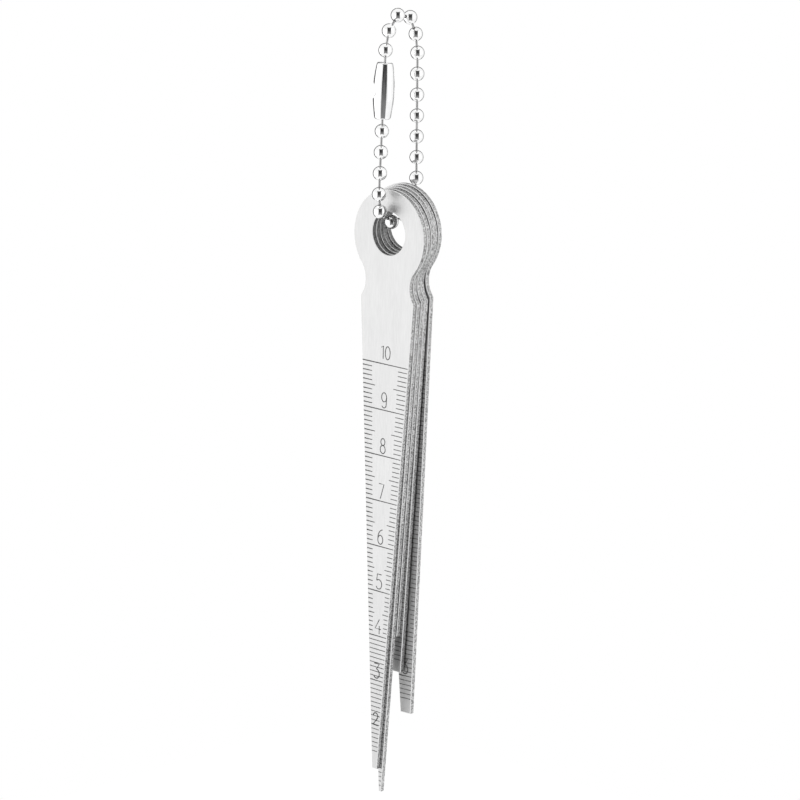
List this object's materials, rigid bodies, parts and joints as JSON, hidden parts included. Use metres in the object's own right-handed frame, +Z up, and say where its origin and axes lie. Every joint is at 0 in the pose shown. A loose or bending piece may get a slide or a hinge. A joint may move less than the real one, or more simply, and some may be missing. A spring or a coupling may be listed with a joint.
{
  "type": "taper gauge",
  "caption": "Set of flat tapered steel leaves with rounded, holed heads, hanging fanned on a closed loop of ball chain; the width at each tick line is the reading.",
  "frame": {"origin": "underside of the topmost link of the chain loop, where a hook or peg carries it", "axes": "+Z up along the hanging leaves, +Y through the stack away from the scaled front leaf, +X across the leaves"},
  "size_m": [0.0153, 0.0108, 0.1273],
  "materials": {
    "leaf_steel": "satin stainless sheet with a fine grain along the leaf",
    "chain_metal": "bright nickel plate",
    "wire_metal": "bright nickel plate"
  },
  "bodies": {
    "chain": {"chain_bead_01": "chain_metal", "chain_bead_02": "chain_metal", "chain_bead_03": "chain_metal", "chain_bead_04": "chain_metal", "chain_bead_05": "chain_metal", "chain_bead_06": "chain_metal", "chain_bead_07": "chain_metal", "chain_bead_08": "chain_metal", "chain_bead_09": "chain_metal", "chain_bead_10": "chain_metal", "chain_bead_11": "chain_metal", "chain_bead_12": "chain_metal", "chain_bead_13": "chain_metal", "chain_bead_14": "chain_metal", "chain_bead_15": "chain_metal", "chain_bead_16": "chain_metal", "chain_bead_17": "chain_metal", "chain_bead_18": "chain_metal", "chain_bead_19": "chain_metal", "chain_bead_20": "chain_metal", "chain_bead_21": "chain_metal", "chain_bead_22": "chain_metal", "chain_link_01": "wire_metal", "chain_link_02": "wire_metal", "chain_link_03": "wire_metal", "chain_link_04": "wire_metal", "chain_link_05": "wire_metal", "chain_link_06": "wire_metal", "chain_link_07": "wire_metal", "chain_link_08": "wire_metal", "chain_link_09": "wire_metal", "chain_link_10": "wire_metal", "chain_link_11": "wire_metal", "chain_link_12": "wire_metal", "chain_link_13": "wire_metal", "chain_link_14": "wire_metal", "chain_link_15": "wire_metal", "chain_link_16": "wire_metal", "chain_link_17": "wire_metal", "chain_link_18": "wire_metal", "chain_link_19": "wire_metal", "chain_link_20": "wire_metal", "chain_link_21": "wire_metal", "chain_connector": "chain_metal"},
    "leaf_1": {"leaf_1": "leaf_steel"},
    "leaf_2": {"leaf_2": "leaf_steel"},
    "leaf_3": {"leaf_3": "leaf_steel"},
    "leaf_4": {"leaf_4": "leaf_steel"},
    "leaf_5": {"leaf_5": "leaf_steel"}
  },
  "joints": [
    {"name": "leaf_1_swing", "type": "hinge", "parent": "chain", "child": "leaf_1", "pos_m": [0, -0.0021, -0.03199], "axis": [0, 1, 0], "range_deg": [-150, 150]},
    {"name": "leaf_2_swing", "type": "hinge", "parent": "chain", "child": "leaf_2", "pos_m": [0, -0.00125, -0.03193], "axis": [0, 1, 0], "range_deg": [-165, 165]},
    {"name": "leaf_3_swing", "type": "hinge", "parent": "chain", "child": "leaf_3", "pos_m": [0, -0.00024, -0.03175], "axis": [0, 1, 0], "range_deg": [-165, 165]},
    {"name": "leaf_4_swing", "type": "hinge", "parent": "chain", "child": "leaf_4", "pos_m": [0, 0.00061, -0.03159], "axis": [0, 1, 0], "range_deg": [-165, 165]},
    {"name": "leaf_5_swing", "type": "hinge", "parent": "chain", "child": "leaf_5", "pos_m": [0, 0.00162, -0.0314], "axis": [0, 1, 0], "range_deg": [-165, 165]}
  ]
}
